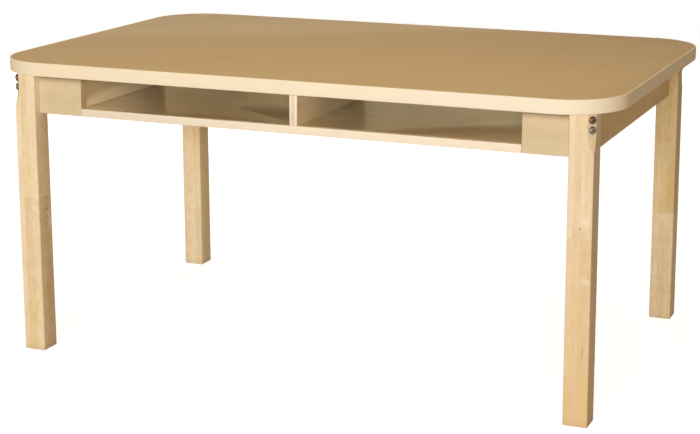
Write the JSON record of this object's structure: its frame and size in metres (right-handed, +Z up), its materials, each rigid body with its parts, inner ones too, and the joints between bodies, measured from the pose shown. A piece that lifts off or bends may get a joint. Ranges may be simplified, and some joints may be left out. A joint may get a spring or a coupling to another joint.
{
  "type": "two-seat school desk",
  "caption": "Two-seat school desk: laminate top with rounded corners and a pale edge band, square maple legs bolted at the corners, and open book compartments under the top.",
  "frame": {"origin": "on the floor, under the middle of the top", "axes": "+Z up, +X along the top's length, to the right of someone who looks into the compartments, +Y towards the closed back of the desk"},
  "size_m": [1.2192, 0.762, 0.5795],
  "materials": {
    "laminate": "tan satin laminate with a fine print",
    "band": "pale cream satin edge band",
    "core": "raw particle board",
    "backer": "dull brown backing sheet",
    "maple": "clear satin lacquer on maple",
    "apron": "clear satin lacquer on hardwood",
    "shelf": "glossy pre-finished birch veneer",
    "plywood": "lacquered plywood with open edge layers",
    "black_steel": "dark brown oxide",
    "zinc_steel": "bright zinc plate"
  },
  "bodies": {
    "root": {"apron_front_left": "apron", "apron_front_right": "apron", "apron_left": "apron", "apron_rear": "apron", "apron_right": "apron", "brace_screw_back_left_end_lower": "zinc_steel", "brace_screw_back_left_end_upper": "zinc_steel", "brace_screw_back_left_side_lower": "zinc_steel", "brace_screw_back_left_side_upper": "zinc_steel", "brace_screw_back_right_end_lower": "zinc_steel", "brace_screw_back_right_end_upper": "zinc_steel", "brace_screw_back_right_side_lower": "zinc_steel", "brace_screw_back_right_side_upper": "zinc_steel", "brace_screw_front_left_end_lower": "zinc_steel", "brace_screw_front_left_end_upper": "zinc_steel", "brace_screw_front_left_side_lower": "zinc_steel", "brace_screw_front_left_side_upper": "zinc_steel", "brace_screw_front_right_end_lower": "zinc_steel", "brace_screw_front_right_end_upper": "zinc_steel", "brace_screw_front_right_side_lower": "zinc_steel", "brace_screw_front_right_side_upper": "zinc_steel", "compartment_back": "plywood", "compartment_wall_left": "plywood", "compartment_wall_right": "plywood", "corner_brace_back_left": "zinc_steel", "corner_brace_back_right": "zinc_steel", "corner_brace_front_left": "zinc_steel", "corner_brace_front_right": "zinc_steel", "divider": "plywood", "leg_back_left": "maple", "leg_back_right": "maple", "leg_bolt_back_left_lower": "black_steel", "leg_bolt_back_left_upper": "black_steel", "leg_bolt_back_right_lower": "black_steel", "leg_bolt_back_right_upper": "black_steel", "leg_bolt_front_left_lower": "black_steel", "leg_bolt_front_left_upper": "black_steel", "leg_bolt_front_right_lower": "black_steel", "leg_bolt_front_right_upper": "black_steel", "leg_front_left": "maple", "leg_front_right": "maple", "leg_nut_back_left_lower": "zinc_steel", "leg_nut_back_left_upper": "zinc_steel", "leg_nut_back_right_lower": "zinc_steel", "leg_nut_back_right_upper": "zinc_steel", "leg_nut_front_left_lower": "zinc_steel", "leg_nut_front_left_upper": "zinc_steel", "leg_nut_front_right_lower": "zinc_steel", "leg_nut_front_right_upper": "zinc_steel", "shelf_board": "shelf", "top_backer": "backer", "top_core": "core", "top_edge_band": "band", "top_laminate": "laminate", "top_screw_back_left": "zinc_steel", "top_screw_back_right": "zinc_steel", "top_screw_left_front": "zinc_steel", "top_screw_left_rear": "zinc_steel", "top_screw_right_front": "zinc_steel", "top_screw_right_rear": "zinc_steel"}
  },
  "joints": []
}
